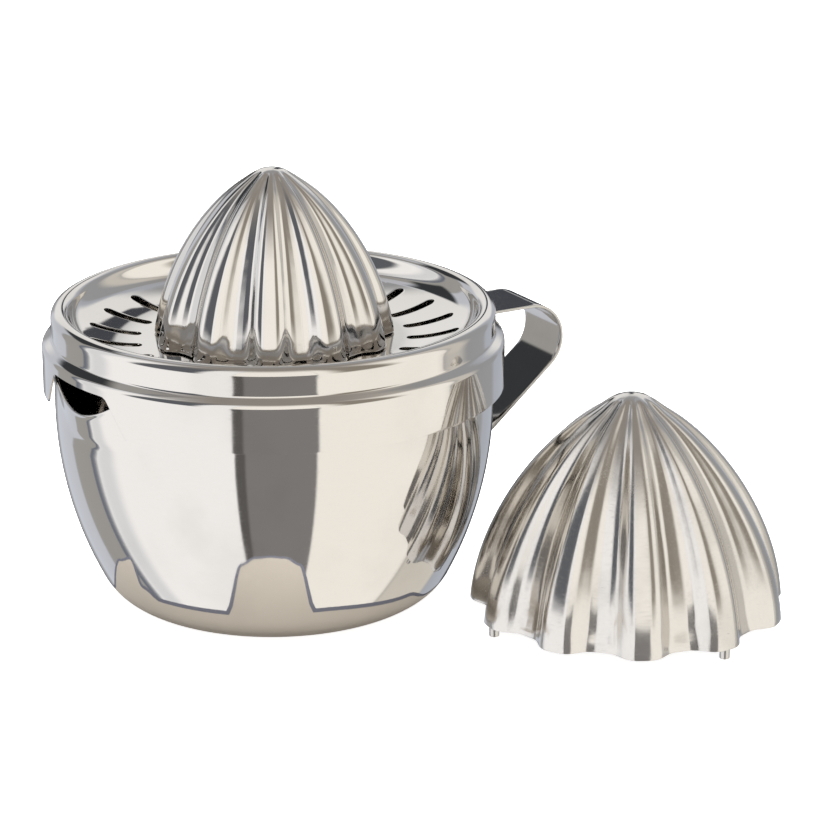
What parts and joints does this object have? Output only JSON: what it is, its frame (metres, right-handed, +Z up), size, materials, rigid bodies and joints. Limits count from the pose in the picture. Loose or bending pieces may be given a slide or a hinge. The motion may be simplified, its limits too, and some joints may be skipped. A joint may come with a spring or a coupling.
{
  "type": "citrus press",
  "caption": "Spouted steel bowl with a strap handle, a slotted strainer tray on its rim, a small fluted reamer on the tray and a large one beside it.",
  "frame": {"origin": "centre of the bowl's flat foot, on the surface that it stands on", "axes": "+Z up along the bowl's axis, +X towards the handle, the spout near -X; the large cone stands beside the bowl at +X -Y"},
  "size_m": [0.2116, 0.1968, 0.1414],
  "materials": {
    "bowl_steel": "mirror polished stainless steel",
    "handle_steel": "polished stainless steel strap",
    "tray_steel": "mirror polished stainless steel",
    "small_cone_steel": "polished stainless steel",
    "large_cone_steel": "polished stainless steel with slight draw marks",
    "pin_steel": "plain turned stainless steel"
  },
  "bodies": {
    "pot": {"bowl": "bowl_steel", "handle": "handle_steel"},
    "tray": {"strainer_tray": "tray_steel"},
    "small_reamer": {"small_cone": "small_cone_steel", "small_cone_pin_1": "pin_steel", "small_cone_pin_2": "pin_steel", "small_cone_pin_3": "pin_steel"},
    "large_reamer": {"large_cone": "large_cone_steel", "large_cone_pin_1": "pin_steel", "large_cone_pin_2": "pin_steel", "large_cone_pin_3": "pin_steel"}
  },
  "joints": [
    {"name": "tray_lift", "type": "slide", "parent": "pot", "child": "tray", "axis": [0, 0, 1], "range_m": [0, 0.08]},
    {"name": "small_cone_lift", "type": "slide", "parent": "tray", "child": "small_reamer", "axis": [0, 0, 1], "range_m": [0, 0.06]},
    {"name": "large_cone_lift", "type": "slide", "parent": "pot", "child": "large_reamer", "axis": [0.5402, -0.4451, 0.7142], "range_m": [0, 0.08]}
  ]
}
